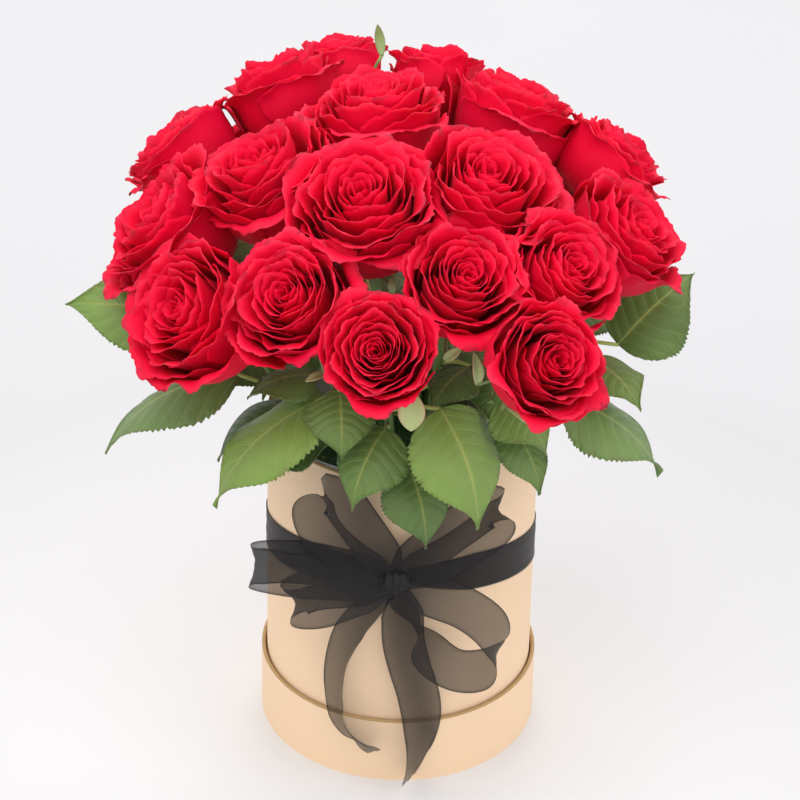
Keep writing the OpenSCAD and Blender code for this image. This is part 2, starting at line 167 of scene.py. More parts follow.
def make_camera():
    data = bpy.data.cameras.new("camera")
    data.sensor_width, data.lens = SENSOR, LENS
    data.clip_start, data.clip_end = .05, 50
    cam = bpy.data.objects.new("camera", data)
    scene.collection.objects.link(cam)
    turn = (AIM - EYE).to_track_quat("-Z", "Y").to_matrix().to_4x4()
    roll = Matrix.Rotation(CAMERA_ROLL, 4, "Z")
    lift = Matrix.Rotation(CAMERA_LIFT, 4, "X")
    cam.matrix_world = Matrix.Translation(EYE) @ turn @ roll @ lift
    scene.camera = cam


WORLD_COLOUR, WORLD_POWER = (1.0, .99, 1.0, 1), 1.12
# Name, place, point it faces, size, watts and tint of each light
LIGHTS = [
    ("key", (-.5, -.6, 1.9), (0, 0, .2), 2.2, 22, (1, .985, .97)),
    ("fill", (1.4, -.9, 1.1), (0, 0, .2), 1.4, 6, (.98, .98, 1)),
    ("back", (.1, 1.4, 1.6), (0, 0, .25), 1.2, 12, (1, 1, 1)),
]


def area_light(name, at, aim, size, power, tint):
    data = bpy.data.lights.new(name, "AREA")
    data.shape, data.size, data.energy, data.color = "DISK", size, power, tint
    lamp = bpy.data.objects.new(name, data)
    lamp.location = at
    lamp.rotation_euler = (Vector(aim) - Vector(at)).to_track_quat("-Z", "Y").to_euler()
    scene.collection.objects.link(lamp)


def make_light():
    world = bpy.data.worlds.new("studio")
    world.use_nodes = True
    sky = world.node_tree.nodes["Background"]
    sky.inputs["Color"].default_value = WORLD_COLOUR
    sky.inputs["Strength"].default_value = WORLD_POWER
    scene.world = world
    for light in LIGHTS:
        area_light(*light)
    scene.view_settings.view_transform = "Standard"
    scene.view_settings.look = "None"


# ---------------------------------------------------------------- materials
class Shader:
    """A node material built step by step."""

    def __init__(self, name):
        self.mat = bpy.data.materials.new(name)
        self.mat.use_nodes = True
        self.tree = self.mat.node_tree
        self.bsdf = self.tree.nodes["Principled BSDF"]
        self.out = self.tree.nodes["Material Output"]

    def node(self, kind, **settings):
        n = self.tree.nodes.new(kind)
        for k, v in settings.items():
            if k.startswith("in_"):
                n.inputs[k[3:].replace("_", " ")].default_value = v
            else:
                setattr(n, k, v)
        return n

    def link(self, a, b):
        self.tree.links.new(a, b)

    def feed(self, value, socket):
        """Gives a socket another node's output, a number or a colour."""
        if hasattr(value, "is_linked"):
            self.link(value, socket)
        else:
            socket.default_value = (*value, 1) if isinstance(value, tuple) else value

    def put(self, **values):
        for k, v in values.items():
            self.bsdf.inputs[k.replace("_", " ")].default_value = v

    def coords(self, kind="Object"):
        return self.node("ShaderNodeTexCoord").outputs[kind]

    def noise(self, vector, scale, detail=3, rough=.5):
        n = self.node("ShaderNodeTexNoise", in_Scale=scale, in_Detail=detail, in_Roughness=rough)
        self.link(vector, n.inputs["Vector"])
        return n.outputs["Fac"]

    def ramp(self, fac, *stops):
        n = self.node("ShaderNodeValToRGB")
        while len(n.color_ramp.elements) < len(stops):
            n.color_ramp.elements.new(.5)
        for e, (at, colour) in zip(n.color_ramp.elements, stops):
            e.position, e.color = at, (*colour, 1)
        self.link(fac, n.inputs["Fac"])
        return n.outputs["Color"]

    def mix(self, fac, a, b, blend="MIX"):
        n = self.node("ShaderNodeMix", data_type="RGBA", blend_type=blend)
        for value, socket in ((fac, n.inputs[0]), (a, n.inputs[6]), (b, n.inputs[7])):
            self.feed(value, socket)
        return n.outputs[2]

    def math(self, op, a, b=None, clamp=False):
        n = self.node("ShaderNodeMath", operation=op, use_clamp=clamp)
        self.feed(a, n.inputs[0])
        if b is not None:
            self.feed(b, n.inputs[1])
        return n.outputs[0]

    def times(self, a, b):
        return self.math("MULTIPLY", a, b)

    def attribute(self, name):
        n = self.node("ShaderNodeAttribute", attribute_name=name)
        split = self.node("ShaderNodeSeparateColor")
        self.link(n.outputs["Color"], split.inputs[0])
        return split.outputs

    def stretch(self, vector, scale):
        n = self.node("ShaderNodeMapping")
        n.inputs["Scale"].default_value = scale
        self.link(vector, n.inputs["Vector"])
        return n.outputs[0]

    def split(self, vector):
        n = self.node("ShaderNodeSeparateXYZ")
        self.link(vector, n.inputs[0])
        return n.outputs

    def base(self, colour):
        self.link(colour, self.bsdf.inputs["Base Color"])

    def bump(self, height, strength, distance):
        n = self.node("ShaderNodeBump", in_Strength=strength, in_Distance=distance)
        self.link(height, n.inputs["Height"])
        self.link(n.outputs[0], self.bsdf.inputs["Normal"])

    def glow(self, colour, tint, share):
        """Light that comes through a thin piece."""
        n = self.node("ShaderNodeBsdfTranslucent")
        self.link(self.mix(1, colour, tint, "MULTIPLY"), n.inputs["Color"])
        self.blend_shader(n, share)

    def back(self):
        return self.node("ShaderNodeNewGeometry").outputs["Backfacing"]

    def blend_shader(self, other, fac):
        """The surface is partly another shader."""
        n = self.node("ShaderNodeMixShader")
        self.feed(fac, n.inputs[0])
        self.link(self.out.inputs["Surface"].links[0].from_socket, n.inputs[1])
        self.link(other.outputs[0], n.inputs[2])
        self.link(n.outputs[0], self.out.inputs["Surface"])


def petal_material():
    """Velvety red with painted shade deep at a petal's foot; pale and here and there dry at its
    lip.
    """
    shaded_foot_red, mid_red, lip_red = (.42, .0004, .013), (.72, .0008, .030), (.88, .002, .050)
    warm_red, pale_lip, dry_rim, dull_back = (
        (.90, .002, .028), (.78, .14, .18), (.13, .012, .030), (.66, .05, .10))
    s = Shader("rose_petal")
    lip, chance, share = s.attribute("tone")[:3]    # lip: 0 at the foot, 1 at the lip
    obj = s.coords()
    cloud = s.noise(obj, 45, 3)
    veins = s.noise(s.stretch(s.coords("UV"), (34, 3, 1)), 3, 3, .6)
    mottle = s.math("ADD", s.times(cloud, .30), s.times(veins, .22))
    # Painted shade: the red darkens from the lip towards the petal's foot, deep in the cup; cloud
    # and veins add the petal's own mottle
    depth = s.ramp(s.math("ADD", s.times(lip, .8), mottle),
                   (.15, shaded_foot_red), (.55, mid_red), (1, lip_red))
    colour = s.mix(s.times(chance, .35), depth, warm_red)
    colour = s.mix(s.times(s.math("POWER", lip, 26), s.times(share, .38)), colour, pale_lip)
    spots = s.math("GREATER_THAN", s.noise(obj, 85, 3), .57)
    dry = s.times(s.math("POWER", lip, 16), spots)
    colour = s.mix(s.times(dry, s.times(share, .75)), colour, dry_rim)
    dull = s.mix(s.math("ADD", s.times(cloud, .30), .10), colour, dull_back)
    colour = s.mix(s.back(), colour, dull)
    s.base(colour)
    s.put(Roughness=.6, Sheen_Weight=.08, Sheen_Roughness=.35, Sheen_Tint=(1, .3, .4, 1),
          Specular_IOR_Level=.14)
    fine = s.noise(obj, 420, 2)
    s.bump(s.math("ADD", s.times(veins, .7), s.times(fine, .3)), .5, .6 * MM)
    s.glow(colour, (1, .35, .5), .2)
    return s.mat


def leaf_material():
    """Satin green with a yellow midrib, curved side veins and brown spots on the edge."""
    dark, green, light = (.055, .105, .028), (.110, .200, .045), (.175, .290, .065)
    fresh_green, shade, vein = (.27, .43, .065), (.10, .17, .05), (.34, .47, .15)
    midrib, brown, underside = (.50, .56, .13), (.20, .13, .05), (.26, .36, .18)
    s = Shader("rose_leaf")
    side, chance, young = s.attribute("tone")[:3]   # side: 0 at the midrib, 1 at the edge
    along = s.split(s.coords("UV"))[1]
    obj = s.coords()
    cloud = s.noise(obj, 38, 4)
    patch = s.noise(obj, 110, 4, .6)
    base = s.ramp(s.math("ADD", s.times(cloud, .7), s.times(chance, .45)),
                  (.25, dark), (.60, green), (1, light))
    fresh = s.mix(s.times(young, .75), base, fresh_green)
    mottled = s.mix(s.times(patch, .45), fresh, s.mix(.5, fresh, shade))
    # Side veins curve from the midrib forward to the teeth
    curve = s.times(s.math("POWER", side, 1.3), 1.9)
    phase = s.math("SUBTRACT", s.times(along, SIDE_VEINS), curve)
    saw = s.math("ABSOLUTE", s.math("SUBTRACT", s.math("FRACT", phase), .5))
    line = s.math("POWER", s.math("SUBTRACT", 1, s.times(saw, 2), clamp=True), 9, clamp=True)
    rib = s.math("POWER", s.math("SUBTRACT", 1, side, clamp=True), 40, clamp=True)
    colour = s.mix(s.times(line, .20), mottled, vein)
    colour = s.mix(s.times(rib, .75), colour, midrib)
    edge = s.times(s.math("POWER", side, 12), s.math("GREATER_THAN", patch, .56))
    colour = s.mix(s.times(edge, .5), colour, brown)
    colour = s.mix(s.back(), colour, s.mix(.55, colour, underside))
    s.base(colour)
    s.put(Roughness=.44, Sheen_Weight=.18, Specular_IOR_Level=.45)
    veins = s.math("MAXIMUM", s.times(line, .6), rib)
    net = s.noise(obj, 330, 4, .75)
    s.bump(s.math("SUBTRACT", s.times(net, .55), veins), .6, .8 * MM)
    s.glow(colour, (.9, 1, .4), .14)
    return s.mat


def stem_material():
    """Green, paler towards the tips of sepals, with a blush on the edges of pale bracts."""
    dark, green = (.07, .14, .03), (.16, .27, .07)
    tip_green, pale_green, blush_pink = (.30, .40, .14), (.50, .60, .26), (.66, .30, .24)
    s = Shader("rose_stem")
    obj = s.coords()
    tip, edge, pale = s.attribute("tone")[:3]
    colour = s.ramp(s.noise(obj, 60, 3), (.3, dark), (.7, green))
    colour = s.mix(s.times(tip, .6), colour, tip_green)
    colour = s.mix(s.times(pale, .8), colour, pale_green)
    blush = s.times(pale, s.math("POWER", edge, 7))
    s.base(s.mix(s.times(blush, .7), colour, blush_pink))
    s.put(Roughness=.5)
    s.bump(s.noise(s.stretch(obj, (1, 1, .3)), 300, 2), .3, .4 * MM)
    return s.mat


def paper_material(name, colour, edge_at=None):
    """Cream kraft paper, with the board's tan raw edge above edge_at."""
    s = Shader(name)
    obj = s.coords()
    fibres = s.noise(s.stretch(obj, (1, 1, 2.5)), 260, 4, .65)
    cloud = s.noise(obj, 14, 3)
    light = tuple(c * 1.05 for c in colour)
    dark = tuple(c * .93 for c in colour)
    paper = s.mix(s.math("ADD", s.times(cloud, .6), s.times(fibres, .4)), dark, light)
    if edge_at is not None:
        raw = s.math("GREATER_THAN", s.split(obj)[2], edge_at)
        paper = s.mix(raw, paper, s.mix(fibres, (.36, .22, .09), (.50, .33, .15)))
    s.base(paper)
    s.put(Roughness=.62, Specular_IOR_Level=.3)
    s.bump(fibres, .18, .3 * MM)
    return s.mat


def foam_material():
    s = Shader("wet_foam")
    grain = s.noise(s.coords(), 520, 3, .7)
    s.base(s.ramp(grain, (.3, (.02, .07, .03)), (.7, (.06, .17, .07))))
    s.put(Roughness=.85)
    s.bump(grain, .8, 1.2 * MM)
    return s.mat


def film_material():
    """Clear crinkled liner film."""
    s = Shader("clear_film")
    s.put(Base_Color=(.93, .95, .97, 1), Roughness=.12, Specular_IOR_Level=.7)
    s.bump(s.noise(s.coords(), 90, 4, .6), .7, 2 * MM)
    s.blend_shader(s.node("ShaderNodeBsdfTransparent"), .62)
    return s.mat


def organza_material(name, clear):
    """Sheer black organza: a fine open weave with denser woven edges."""
    s = Shader(name)
    uv = s.coords("UV")
    across = s.math("ABSOLUTE", s.math("SUBTRACT", s.times(s.split(uv)[0], 2), 1))
    hem = s.math("POWER", across, 18)
    weave = s.noise(s.stretch(uv, (60, 900, 1)), 3, 2)
    s.base(s.mix(weave, (.008, .007, .008), (.024, .021, .020)))
    s.put(Roughness=.5, Sheen_Weight=.12, Sheen_Roughness=.3, Specular_IOR_Level=.25)
    s.bump(weave, .25, .2 * MM)
    open_share = s.math("MULTIPLY", s.math("SUBTRACT", 1, s.times(hem, .75)),
                        s.math("ADD", clear - .06, s.times(weave, .12)), clamp=True)
    s.blend_shader(s.node("ShaderNodeBsdfTransparent"), open_share)
    return s.mat


def floor_material():
    """Matt paper with painted light: paler in the middle, where the planting keeps the light off.
    """
    s = Shader("floor")
    paper = s.mix(s.noise(s.coords(), 3, 2), (.50, .50, .51), (.54, .54, .55))
    # Painted light: a spherical gradient pales the floor round the box and lifts the planting's
    # cast shadow
    painted_light_pool = s.node("ShaderNodeTexGradient", gradient_type="SPHERICAL")
    s.link(s.stretch(s.coords(), (2.6, 2.6, 2.6)), painted_light_pool.inputs["Vector"])
    s.base(s.mix(painted_light_pool.outputs["Fac"], paper, (.75, .75, .76)))
    s.put(Roughness=.9, Specular_IOR_Level=.1)
    return s.mat


# ---------------------------------------------------------------- mesh code
class Skin:
    """Collects grids of points into one mesh with a UV map and a tone attribute."""

    def __init__(self):
        self.points, self.quads, self.uvs, self.tones = [], [], [], []
        self.count = 0

    def grid(self, pts, tone, wrap=False):
        """pts: rows x columns x 3. tone: rows x columns x 3, or three numbers."""
        rows, cols = pts.shape[:2]
        n = np.arange(rows * cols).reshape(rows, cols) + self.count
        if wrap:
            n = np.concatenate([n, n[:, :1]], 1)
        q = np.stack([n[:-1, :-1], n[:-1, 1:], n[1:, 1:], n[1:, :-1]], -1).reshape(-1, 4)
        uv = np.stack(np.meshgrid(np.linspace(0, 1, cols), np.linspace(0, 1, rows)), -1)
        tone = np.broadcast_to(np.asarray(tone, float), (rows, cols, 3))
        self.points.append(pts.reshape(-1, 3))
        self.quads.append(q)
        self.uvs.append(uv.reshape(-1, 2))
        self.tones.append(tone.reshape(-1, 3))
        self.count += rows * cols

    def build(self, name, material, body, stands_for, thick):
        """The piece as an object on its body, in place of one CAD node."""
        pts, quads = np.concatenate(self.points), np.concatenate(self.quads)
        uvs, tones = np.concatenate(self.uvs), np.concatenate(self.tones)
        mesh = bpy.data.meshes.new(name)
        mesh.from_pydata(pts.tolist(), [], quads.tolist())
        mesh.polygons.foreach_set("use_smooth", np.ones(len(mesh.polygons), bool))
        index = np.zeros(len(mesh.loops), np.int32)
        mesh.loops.foreach_get("vertex_index", index)
        layer = mesh.uv_layers.new(name="UVMap")
        layer.data.foreach_set("uv", uvs[index].astype(np.float32).ravel())
        colour = np.ones((len(pts), 4), np.float32)
        colour[:, :3] = tones
        tone = mesh.attributes.new("tone", "FLOAT_COLOR", "POINT")
        tone.data.foreach_set("color", colour.ravel())
        mesh.materials.append(material)
        mesh.validate()
        obj = bpy.data.objects.new(name, mesh)
        scene.collection.objects.link(obj)
        solid = obj.modifiers.new("thickness", "SOLIDIFY")
        solid.thickness, solid.offset = thick, 0
        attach(obj, body)
        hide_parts(stands_for)
        return obj


def basis(direction, turn=0.0):
    """Columns x, y and direction of a frame whose z is direction."""
    z = direction / np.linalg.norm(direction)
    x = np.cross([0, 0, 1], z)
    x = x / np.linalg.norm(x) if np.linalg.norm(x) > 1e-6 else np.array([1.0, 0, 0])
    y = np.cross(z, x)
    c, s = math.cos(turn), math.sin(turn)
    return np.stack([x * c + y * s, y * c - x * s, z], 1)


def wobble(rng, x, n):
    """A smooth random curve, within about -1 to 1."""
    total = np.zeros_like(x)
    for k in range(1, n + 1):
        pace, start = rng.uniform(.7, 1.3), rng.uniform(0, TAU)
        total = total + np.sin(pace * k * math.pi * x + start) / k ** .7
    return total / (n ** .5)


def smooth_path(rows, per):
    """Catmull-Rom curve through rows of numbers."""
    p = np.asarray(rows, float)
    p = np.concatenate([[2 * p[0] - p[1]], p, [2 * p[-1] - p[-2]]])
    out = []
    for i in range(1, len(p) - 2):
        t = np.linspace(0, 1, per, endpoint=False)[:, None]
        a, b, c, d = p[i - 1:i + 3]
        out.append(.5 * (2 * b + (c - a) * t + (2 * a - 5 * b + 4 * c - d) * t ** 2
                         + (3 * b - a - 3 * c + d) * t ** 3))
    return np.concatenate(out + [p[-2:-1]])


def tube(path, radii, sides):
    """Grid of a round tube along a path."""
    path = np.asarray(path, float)
    run = np.gradient(path, axis=0)
    run /= np.linalg.norm(run, axis=1)[:, None]
    ref = np.array([1.0, 0, 0]) if abs(run[0][0]) < .8 else np.array([0, 1.0, 0])
    rings = []
    a = np.linspace(0, TAU, sides, endpoint=False)
    for p, d, r in zip(path, run, radii):
        x = ref - d * (ref @ d)
        x /= np.linalg.norm(x)
        y = np.cross(d, x)
        ref = x
        rings.append(p + r * (np.cos(a)[:, None] * x + np.sin(a)[:, None] * y))
    return np.array(rings)


# ---------------------------------------------------------------- roses
def bezier(a, b, c, d, t):
    return a * (1 - t) ** 3 + 3 * b * t * (1 - t) ** 2 + 3 * c * t * t * (1 - t) + d * t ** 3


def petal_lip(rng, u, share, guard):
    """Outline of a petal's lip: round shoulders, a small tip, fine teeth and a nick or two."""
    lip = 1 - (.24 + .01 * share - .08 * guard) * np.abs(u) ** (2.4 + .9 * guard)
    lip += .022 * np.exp(-(u / .16) ** 2) * rng.uniform(-.5, 1.8)
    lip += .012 * wobble(rng, u * 2.2, 4) + .015 * wobble(rng, u * 15, 4) * (.3 + .7 * share)
    for _ in range(2):
        depth = rng.uniform(0, .035) * share
        lip -= depth * np.exp(-((u - rng.uniform(-.8, .8)) / .05) ** 2)
    return lip


def petal(skin, rng, place, origin, R, H, share, turn, openness, guard):
    """One petal of a rose head of radius R and height H. share is 0 at the heart and 1
    outside, guard is 0 except on the loose outer petals."""
    # Size: radius at its belly, half angle that it wraps, lean, height and rolled lip
    belly = R * (.045 + .82 * share ** 1.1) * (1 + .07 * rng.uniform(-1, 1) * share ** .3)
    wrap = math.radians(165 - 150 * share ** .55 + 38 * share) * rng.uniform(.85, 1.12)
    wrap *= 1 + .30 * guard
    lean = (.01 + .13 * share ** 1.5 * openness) * R
    fall = (.03 + .10 * openness) * share ** 3
    top = H * (.93 + .08 * math.sin(math.pi * min(1, share ** .8)) - fall)
    top *= rng.uniform(.955, 1.03)
    roll = R * (.015 + .10 * share ** 1.5 + .04 * guard) * rng.uniform(.5, 1.5)
    cols = int(np.clip(2 * wrap * (belly + lean) / PETAL_STEP, 16, 48))
    rows = 12 if share < .6 else 14
    u = np.linspace(-1, 1, cols)
    v = np.linspace(0, 1, rows) ** .85
    lip = petal_lip(rng, u, share, guard)
    t = v[:, None] * lip[None, :]
    uu = np.broadcast_to(u, t.shape)
    # Profile from the foot over the belly to the lip, which rolls out and down
    rho = bezier(.09 * R, belly * 1.20, belly * .93, belly + lean, t)
    z = bezier(0.0, .06 * H, .62 * top, top, t)
    curl = np.clip((t - .70) / .30, 0, 1.3)
    rho = rho + roll * curl ** 2 * (1 + .6 * wobble(rng, uu * 1.4, 2))
    z = z - (.25 + .9 * share ** 2 + .5 * guard) * roll * curl ** 2.4
    # Waves that grow towards the lip, and one edge tucked in behind the next petal
    rho = rho + R * (.014 + .036 * share) * t ** 3 * wobble(rng, uu * 1.7, 3)
    z = z + R * (.012 + .036 * share) * t ** 3 * wobble(rng, uu * 2.1, 3)
    rho = rho + R * (.030 + .020 * share) * uu * np.clip(t * 1.4, 0, 1)
    tuck = np.clip((np.abs(uu) - .62) / .38, 0, 1) ** 2 * t
    rho = rho + R * (.02 + .05 * share * openness) * tuck * rng.uniform(.2, 1.2)
    phi = turn + wrap * uu * np.clip(.42 + .95 * t, 0, 1) ** .8
    x, y = rho * np.cos(phi), rho * np.sin(phi)
    # Each petal leans a little its own way, so the lips don't lie in even rings
    z = z + (rng.uniform(-.10, .10) * x + rng.uniform(-.10, .10) * y) * t
    chance = rng.uniform(0, 1)
    tone = np.stack([t / lip.max(), np.full(t.shape, chance), np.full(t.shape, share)], -1)
    skin.grid(np.stack([x, y, z], -1) @ place.T + origin, tone)


def rose_frame(i):
    """Direction, heart, base and radius of the CAD's head."""
    az, tilt, dist, r = ROSES[i][:4]
    d = unit(az, tilt)
    heart = np.array([0, 0, RIM_Z]) + d * dist * DOME_R
    r = r * DOME_R
    return d, heart, heart - d * HEAD_DEPTH * r, r


def make_bloom(i, material):
    d, _, base, r = rose_frame(i)
    openness, turn, count, puff = ROSES[i][4:]
    rng = np.random.default_rng(BLOOM_SEED + i)
    R = r * HEAD_WIDTH * puff
    H = r * HEAD_HEIGHT * (.5 + .5 * puff)
    place = basis(d, math.radians(turn))
    skin = Skin()
    # The heart sits a little off the middle of the head
    way = rng.uniform(0, TAU)
    aside = place @ np.array([math.cos(way), math.sin(way), 0]) * R * rng.uniform(.03, .10)
    for k in range(count):
        share = (k / (count - 1)) ** (1.06 - .12 * openness)
        angle = math.radians(PETAL_TURN * k) + rng.uniform(-.35, .35)
        guard = rng.uniform(.2, .9) if k >= count - GUARDS else 0
        petal(skin, rng, place, base + aside * (1 - share), R, H, share, angle,
              openness * rng.uniform(.7, 1.3), guard)
    skin.build(f"bloom_{i + 1}", material, "planting", f"rose_bloom_{i + 1}", PETAL_T)


# ---------------------------------------------------------------- stems with hips and sepals
def reach(p):
    """Distance of a point from the box's axis."""
    return math.hypot(p[0], p[1])


WIDEST = max(reach(rose_frame(i)[1]) for i in range(len(ROSES)))


def stem_points(i):
    """Foot in the foam, foam's top, gate over the rim, neck under the hip, head's base and
    direction, as in the CAD."""
    d, heart, base, _ = rose_frame(i)
    gate_r = (FOAM_R - STEM_R - GATE_MARGIN) * (reach(heart) / WIDEST)
    a = math.radians(ROSES[i][0])
    out = np.array([math.cos(a), math.sin(a), 0])
    foot = out * gate_r * ENTRY_SHARE
    low, entry = foot + [0, 0, FOAM_TOP - STEM_DEPTH], foot + [0, 0, FOAM_TOP + STEM_R]
    gate = out * gate_r + [0, 0, RIM_Z + GATE_RISE]
    neck = base - d * (HIP_H + STEM_R)
    return low, entry, gate, neck, base, d


def on_stem(i, share):
    """Point that lies a share of the way from the gate up to the neck."""
    gate, neck = stem_points(i)[2:4]
    return gate + (neck - gate) * share


def sepal(skin, place, origin, angle, length, width, droop):
    """A pointed sepal that bends down along a circle, or up where droop is negative."""
    v = np.linspace(0, 1, 12)[:, None]
    u = np.linspace(-1, 1, 5)[None, :]
    half = width / 2 * np.sin(math.pi * np.clip(v * .85 + .15, 0, 1)) ** .8 * (1 - v * .25)
    bend = droop * v
    x = SEPAL_ROOT + length * np.sin(bend) / droop + 0 * u
    y = half * u
    z = -length * (1 - np.cos(bend)) / droop - SEPAL_DROP + .25 * half * u ** 2
    c, s = math.cos(angle), math.sin(angle)
    pts = np.stack([x * c - y * s, x * s + y * c, z], -1)
    skin.grid(pts @ place.T + origin, np.stack([v + 0 * u, 0 * x, 0 * x], -1))


# Long sepals and bracts that show between the heads, only in the scene. By rose:
# [base, tip, width, paleness], with the points in the columns of LEAVES
SPRIGS = {
    3: [[[145, 24, 156], [144, 26, 166], 5, .4]],
    4: [[[100, 20, 180], [101, 26, 198], 6, .2]],
    11: [[[-97, -16, 116], [-97, -17, 127], 5, .8]],
    12: [[[-164, -7, 140], [-164, -7, 152], 5, .6]],
    13: [[[-113, 33, 87], [-116, 45, 87], 5, .7]],
    14: [[[-88, 42, 87], [-88, 48, 66], 15, 1]],
    15: [[[-78, 26, 98], [-73, 31, 109], 6, .8]],
    17: [[[-69, 34, 84], [-70, 31, 104], 7, .9], [[-65, 51, 80], [-60, 63, 68], 5, .7]],
}


def sprig(skin, hip, base, tip, width, pale):
    """A hollow bract on a thin stalk from the hip."""
    way = tip - base
    length = np.linalg.norm(way)
    outward = np.array([base[0], base[1], 0]) / reach(base) + [0, 0, .8]
    side = np.cross(outward, way)
    side /= np.linalg.norm(side)
    up = np.cross(way, side) / length
    v = np.linspace(0, 1, 16)[:, None]
    u = np.linspace(-1, 1, 7)[None, :]
    half = width / 2 * np.sin(math.pi * (.10 + .90 * v)) ** .8
    y = half * u
    z = .14 * length * np.sin(math.pi * v) + .3 * np.abs(y)
    pts = base + (v + 0 * u)[..., None] * way + y[..., None] * side + z[..., None] * up
    skin.grid(pts, np.stack([v + 0 * u, np.abs(u) + 0 * v, np.full(y.shape, pale)], -1))
    stalk = smooth_path([hip, (hip + base) / 2, base], 4)
    skin.grid(tube(stalk, np.full(len(stalk), SPRIG_STALK_R), 6), (.2, 0, .3), wrap=True)


def make_stem(i, material):
    low, entry, gate, neck, base, d = stem_points(i)
    rng = np.random.default_rng(STEM_SEED + i)
    line = smooth_path([low, (low + entry) / 2, entry, gate, (gate + neck) / 2, neck], 6)
    skin = Skin()
    skin.grid(tube(line, np.full(len(line), STEM_R), 10), (0, 0, 0), wrap=True)
    # The hip swells from the stem to the head's base
    along = [-HIP_H - 1.5 * MM] + [-a * HIP_H for a in (1, .75, .5, .3, .1)] + [1.5 * MM]
    girth = [STEM_R, STEM_R * 1.02, 3.3 * MM, 4.9 * MM, 5.9 * MM, 5.6 * MM, 4.5 * MM]
    skin.grid(tube([base + d * a for a in along], girth, 14), (.3, 0, 0), wrap=True)
    place = basis(d, rng.uniform(0, TAU))
    for k in range(SEPALS):
        angle = TAU * k / SEPALS + rng.uniform(-.15, .15)
        length, width = rng.uniform(17, 23) * MM, rng.uniform(5, 6.5) * MM
        sepal(skin, place, base, angle, length, width, rng.uniform(-.9, 1.4))
    for first, last, width, pale in SPRIGS.get(i, []):
        sprig(skin, base - d * HIP_H * .5, rim_point(first), rim_point(last), width * MM, pale)
    for _ in range(THORNS):
        k = rng.integers(len(line) // 2, len(line) - 3)
        side = basis(line[k + 1] - line[k], rng.uniform(0, TAU))
        tip = line[k] + side[:, 0] * 5.2 * MM - side[:, 2] * 1.5 * MM
        root = line[k] + side[:, 0] * 1.8 * MM
        thorn = tube([root, root + (tip - root) * .4, tip], [1.7 * MM, .9 * MM, .05 * MM], 6)
        skin.grid(thorn, (.8, 0, 0), wrap=True)
    skin.build(f"stem_{i + 1}", material, "planting", f"rose_stem_{i + 1}", STEM_SKIN_T)


# ---------------------------------------------------------------- leaves
def rim_point(p):
    """Point from its azimuth, distance out from the tube and height above the rim in mm."""
    a = math.radians(p[0])
    r = TUBE_R + p[1] * MM
    return np.array([r * math.cos(a), r * math.sin(a), RIM_Z + p[2] * MM])


def blade(skin, rng, base, tip, width, roll, young):
    """One toothed leaflet, arched along its length and folded up from its midrib."""
    length = np.linalg.norm(tip - base)
    x = (tip - base) / length
    up = np.array([0, 0, 1.0]) - x * x[2]
    up /= np.linalg.norm(up)
    side = np.cross(up, x)
    c, s = math.cos(math.radians(roll)), math.sin(math.radians(roll))
    side, up = side * c + up * s, up * c - side * s
    rows, cols = 82, 15
    v = np.linspace(0, 1, rows)[:, None]
    u = np.linspace(-1, 1, cols)[None, :]
    half = width / 2 * np.sin(math.pi * v ** .70) ** (.66 + .75 * v ** 1.5)
    count = v * LEAF_TEETH + .5 * wobble(rng, v * 3, 2)
    teeth = 1 + .065 * (count % 1.0 - .55) * (1 + .5 * wobble(rng, v * 9, 2)) * np.abs(u) ** 7
    y = half * u * teeth
    edge = np.abs(u)
    soft = wobble(rng, np.broadcast_to(v * 1.6, (rows, cols)), 2)
    wave = .035 * length * soft * u ** 2 * np.sign(u)
    # The blade puffs up between its side veins
    veins = np.abs(np.sin(math.pi * (v * SIDE_VEINS - edge ** 1.3 * 1.9))) ** .6
    quilt = -1.3 * MM * veins * edge ** .5 * (edge < .97)
    lift = LEAF_ARCH * length * (4 * v * (1 - v)) * .8 + .22 * np.abs(y) - 1.1 * (y ** 2) / width
    z = lift - .10 * length * v ** 3 + wave + quilt
    pts = base + (v * length + 0 * u)[..., None] * x + y[..., None] * side + z[..., None] * up
    chance = rng.uniform(0, 1)
    tone = np.stack([edge + 0 * v, np.full(z.shape, chance), np.full(z.shape, young)], -1)
    skin.grid(pts, tone)


def make_leaves(node, material):
    """All the leaves of one CAD node, each on a stalk from a rose's stem."""
    rng = np.random.default_rng(sum(map(ord, node)))
    skin = Skin()
    rows = [(on_stem(rose, share), rim_point(base), rim_point(tip), width, roll, young)
            for rose, share, base, tip, width, roll, young in LEAVES[node] + FILL[node]]
    for rose, share, turn in INNER[node]:
        foot = on_stem(rose, share)
        az = math.radians(ROSES[rose][0] + turn)
        way = np.array([math.cos(az), math.sin(az), 0])
        tip = foot + (way * (INNER_STALK + INNER_LENGTH) - np.array([0, 0, INNER_DROP])) * MM
        rows.append((foot, foot + way * INNER_STALK * MM, tip, INNER_W, 0, INNER_YOUNG))
    for foot, base, tip, width, roll, young in rows:
        mid = (foot + base) / 2 + np.array([0, 0, 2 * MM])
        stalk = smooth_path([foot, mid, base], 6)
        skin.grid(tube(stalk, np.full(len(stalk), LEAF_STALK_R), 8), (0, .5, .6), wrap=True)
        blade(skin, rng, base, tip, width * MM, roll, young)
    skin.build(node + "_blades", material, "planting", node, LEAF_T)


# ---------------------------------------------------------------- ribbon
RIBBON_COLS = 21
FAR = 1e3       # further from a knot than any ribbon is long, in mm


